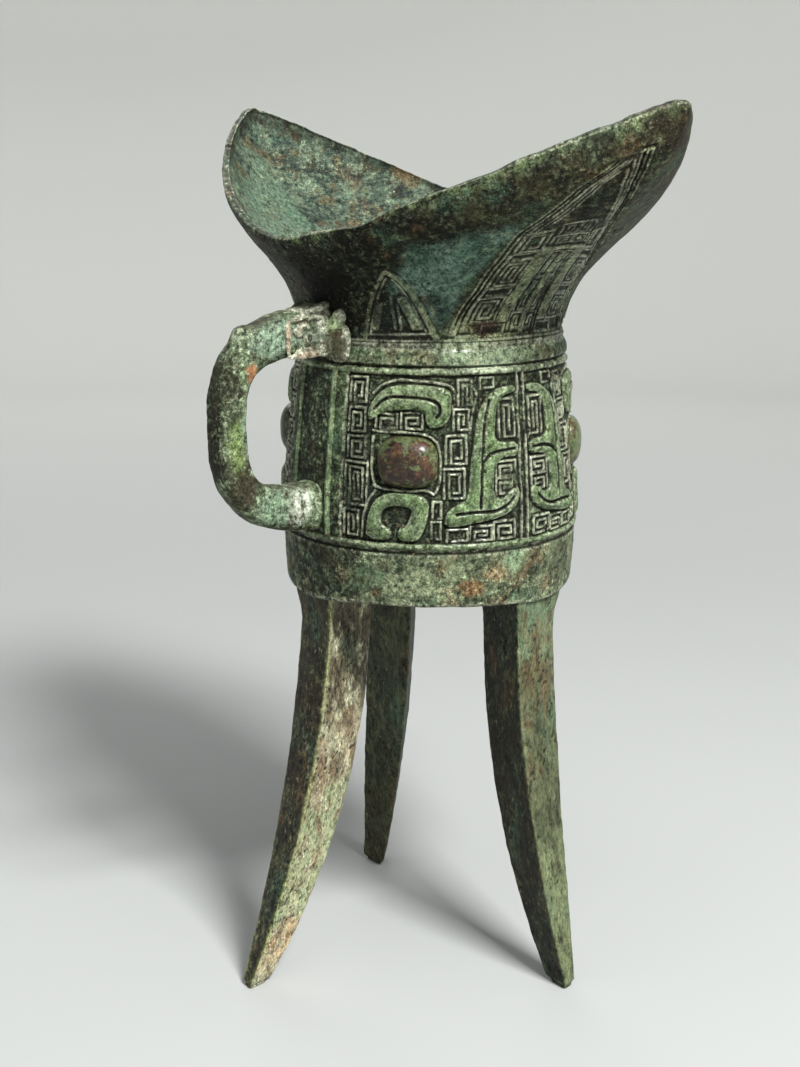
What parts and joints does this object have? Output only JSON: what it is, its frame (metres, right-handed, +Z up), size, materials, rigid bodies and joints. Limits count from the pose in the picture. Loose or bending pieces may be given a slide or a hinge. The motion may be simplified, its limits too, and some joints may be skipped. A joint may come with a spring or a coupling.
{
  "type": "bronze jiao wine vessel",
  "caption": "Ritual bronze wine vessel: round cup on three splayed legs, a mouth rising into two pointed wings, and a strap handle under an animal head.",
  "frame": {"origin": "middle of the vessel's footprint box, on the surface that it stands on", "axes": "+Z up, X along the two wings, -Y towards the handle"},
  "size_m": [0.1702, 0.1104, 0.2219],
  "materials": {
    "cup_bronze": "cast bronze relief with dark grey-green patina",
    "mouth_bronze": "cast bronze with blue-green patina",
    "leg_bronze": "cast bronze with earthy crust",
    "handle_bronze": "cast bronze with pale green crust",
    "eye_bronze": "cast bronze with red-brown oxide"
  },
  "bodies": {
    "root": {"cup": "cup_bronze", "winged_mouth": "mouth_bronze", "leg_under_handle": "leg_bronze", "leg_right": "leg_bronze", "leg_left": "leg_bronze", "handle_strap": "handle_bronze", "handle_animal_head": "handle_bronze", "eye_handle_side_left": "eye_bronze", "eye_handle_side_right": "eye_bronze", "eye_far_side_left": "eye_bronze", "eye_far_side_right": "eye_bronze"}
  },
  "joints": []
}
